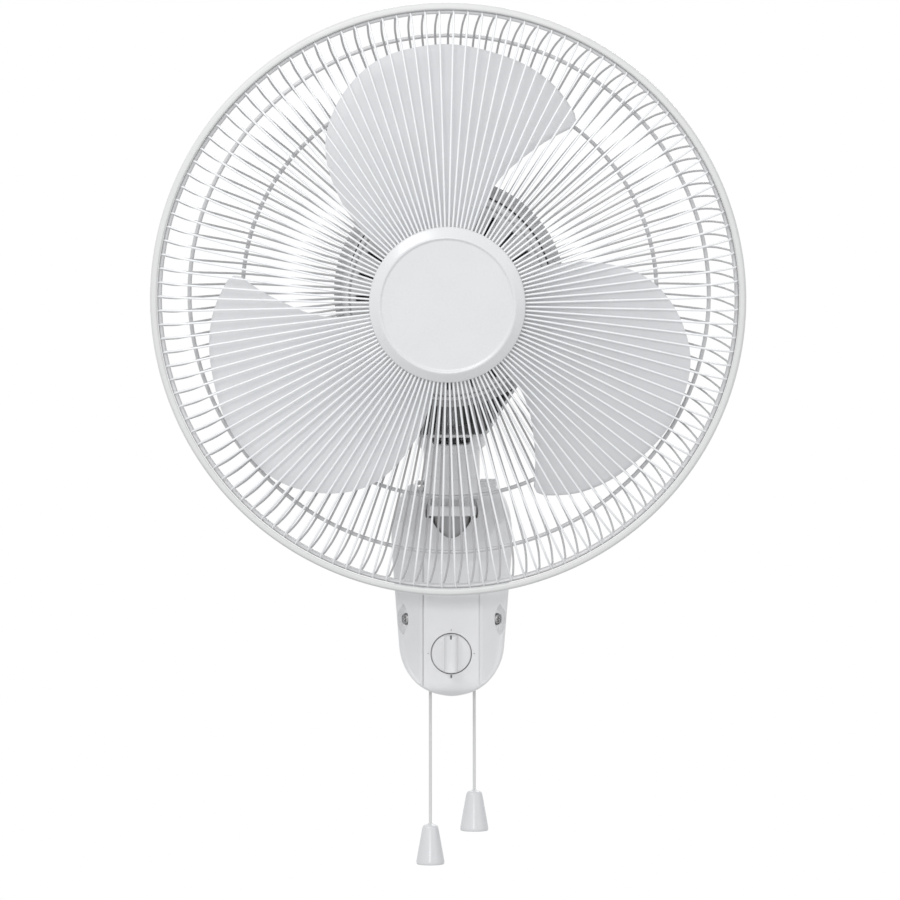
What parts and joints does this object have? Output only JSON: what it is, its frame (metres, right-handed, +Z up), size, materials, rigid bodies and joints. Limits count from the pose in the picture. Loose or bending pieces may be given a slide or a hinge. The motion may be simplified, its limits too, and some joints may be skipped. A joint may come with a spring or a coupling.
{
  "type": "wall mounted fan",
  "caption": "Wall mounted electric fan: round wire guard over wide blades, on a tilting and swinging neck, with a speed knob and pull cords on the wall base.",
  "frame": {"origin": "centre of the wall plate's back face, on the wall", "axes": "+Z up, +Y into the wall, -Y the way the fan blows, +X to the right seen from the front"},
  "size_m": [0.45, 0.2641, 0.6687],
  "materials": {
    "housing": "satin",
    "blade_plastic": "satin",
    "wire_enamel": "gloss",
    "rim_plastic": "satin",
    "plated_steel": "satin",
    "galvanised_steel": "satin",
    "cast_alloy": "matte",
    "copper_winding": "satin",
    "grey_metal": "satin",
    "cord": "matte",
    "inner_plastic": "matte",
    "soft_rubber": "matte"
  },
  "bodies": {
    "base": {"wall_plate": "galvanised_steel", "base_back_case": "housing", "base_front_cover": "housing", "cable_grommet": "soft_rubber", "cover_screws": "plated_steel", "cord_bushings": "housing", "rotary_switch": "inner_plastic", "pull_switches": "inner_plastic", "capacitor": "inner_plastic", "terminal_block": "inner_plastic", "neck_post": "housing", "post_screws": "plated_steel"},
    "knob": {"speed_knob": "housing", "switch_shaft": "inner_plastic"},
    "left_pull": {"left_pull_cord": "cord", "left_pull_handle": "housing"},
    "right_pull": {"right_pull_cord": "cord", "right_pull_handle": "housing"},
    "neck": {"neck_column": "housing", "tilt_pin": "plated_steel", "thrust_washer": "inner_plastic"},
    "thumb": {"thumb_screw": "housing"},
    "head": {"swing_spindle": "grey_metal", "gearbox": "cast_alloy", "swing_motor": "galvanised_steel", "motor_front_case": "housing", "motor_rear_case": "housing", "front_shield": "cast_alloy", "rear_shield": "cast_alloy", "stator": "galvanised_steel", "windings": "copper_winding", "front_bearing": "plated_steel", "rear_bearing": "plated_steel", "front_guard_wires": "wire_enamel", "rear_guard_wires": "wire_enamel", "front_guard_ring": "wire_enamel", "rear_guard_ring": "wire_enamel", "rear_outer_support_ring": "wire_enamel", "rear_inner_support_ring": "wire_enamel", "rear_guard_plate": "wire_enamel", "rim_band": "rim_plastic", "cap_plate": "wire_enamel", "front_cap": "housing"},
    "rotor": {"rotor_shaft": "plated_steel", "rotor_core": "cast_alloy", "blade_set": "blade_plastic", "spinner_nut": "housing"}
  },
  "joints": [
    {"name": "knob_turn", "type": "hinge", "parent": "base", "child": "knob", "pos_m": [0, -0.088, -0.0501], "axis": [0, 1, 0], "range_deg": [-180, 90]},
    {"name": "left_pull_slide", "type": "slide", "parent": "base", "child": "left_pull", "axis": [0, 0, -1], "range_m": [0, 0.012], "stiffness_N_per_m": 250, "springref_m": -0.006},
    {"name": "right_pull_slide", "type": "slide", "parent": "base", "child": "right_pull", "axis": [0, 0, -1], "range_m": [0, 0.012], "stiffness_N_per_m": 250, "springref_m": -0.006},
    {"name": "neck_tilt", "type": "hinge", "parent": "base", "child": "neck", "pos_m": [0, -0.066, 0.0827], "axis": [1, 0, 0], "range_deg": [-9, 21]},
    {"name": "thumb_screw_turn", "type": "hinge", "parent": "neck", "child": "thumb", "pos_m": [0, -0.066, 0.0827], "axis": [1, 0, 0], "range_deg": [0, 360]},
    {"name": "head_swing", "type": "hinge", "parent": "neck", "child": "head", "pos_m": [0, -0.066, 0.0827], "axis": [0, -0.1564, 0.9877], "range_deg": [-35, 35]},
    {"name": "blade_spin", "type": "hinge", "parent": "head", "child": "rotor", "pos_m": [0, -0.21984, 0.22296], "axis": [0, 0.9877, 0.1564], "continuous": true}
  ]
}
